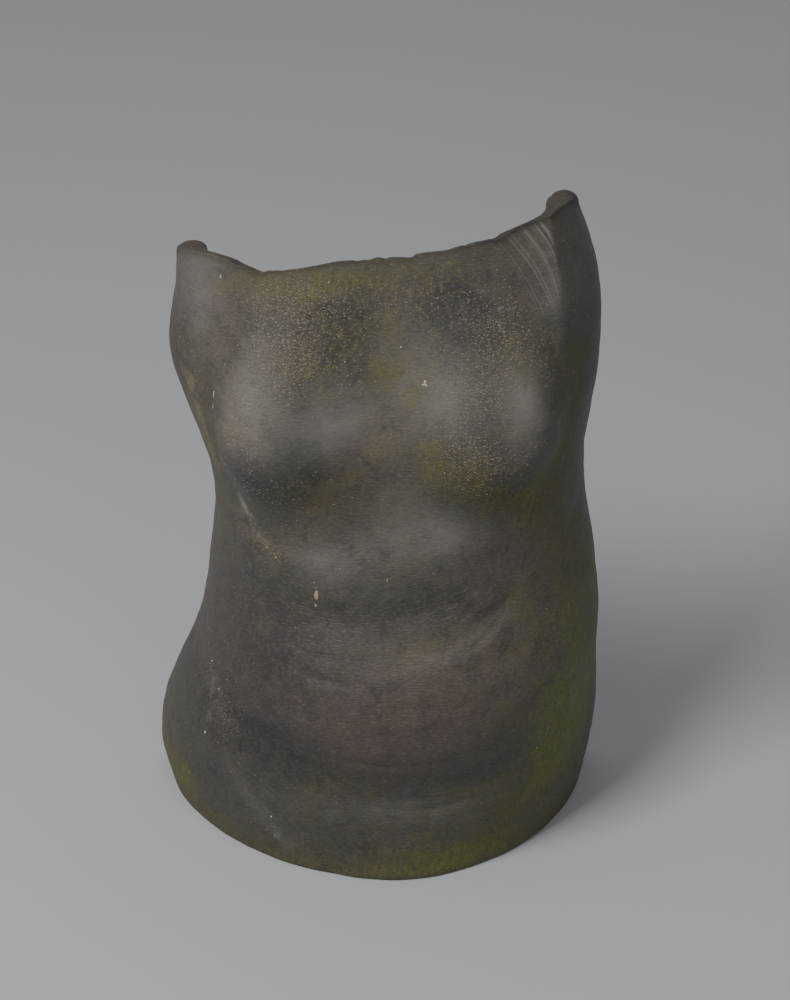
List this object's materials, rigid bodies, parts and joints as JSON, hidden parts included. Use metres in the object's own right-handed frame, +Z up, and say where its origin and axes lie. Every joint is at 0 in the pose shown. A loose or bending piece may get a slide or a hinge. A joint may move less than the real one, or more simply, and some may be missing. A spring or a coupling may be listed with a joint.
{
  "type": "ceramic female torso",
  "caption": "Life-size female torso in pressed clay: an open-backed shell from shoulders to hips, with a slanting open top and a flat foot it stands on.",
  "frame": {"origin": "bottom centre of the torso's bounding box, on the surface it stands on", "axes": "+Z up; the front of the torso faces -Y; +X is on the right of someone who looks at the front"},
  "size_m": [0.3898, 0.1954, 0.5852],
  "materials": {
    "fired_clay": "matt smoke-fired clay, dark grey-brown with pale grog, ochre stains and patches of yellow-green moss"
  },
  "bodies": {
    "root": {"torso": "fired_clay"}
  },
  "joints": []
}
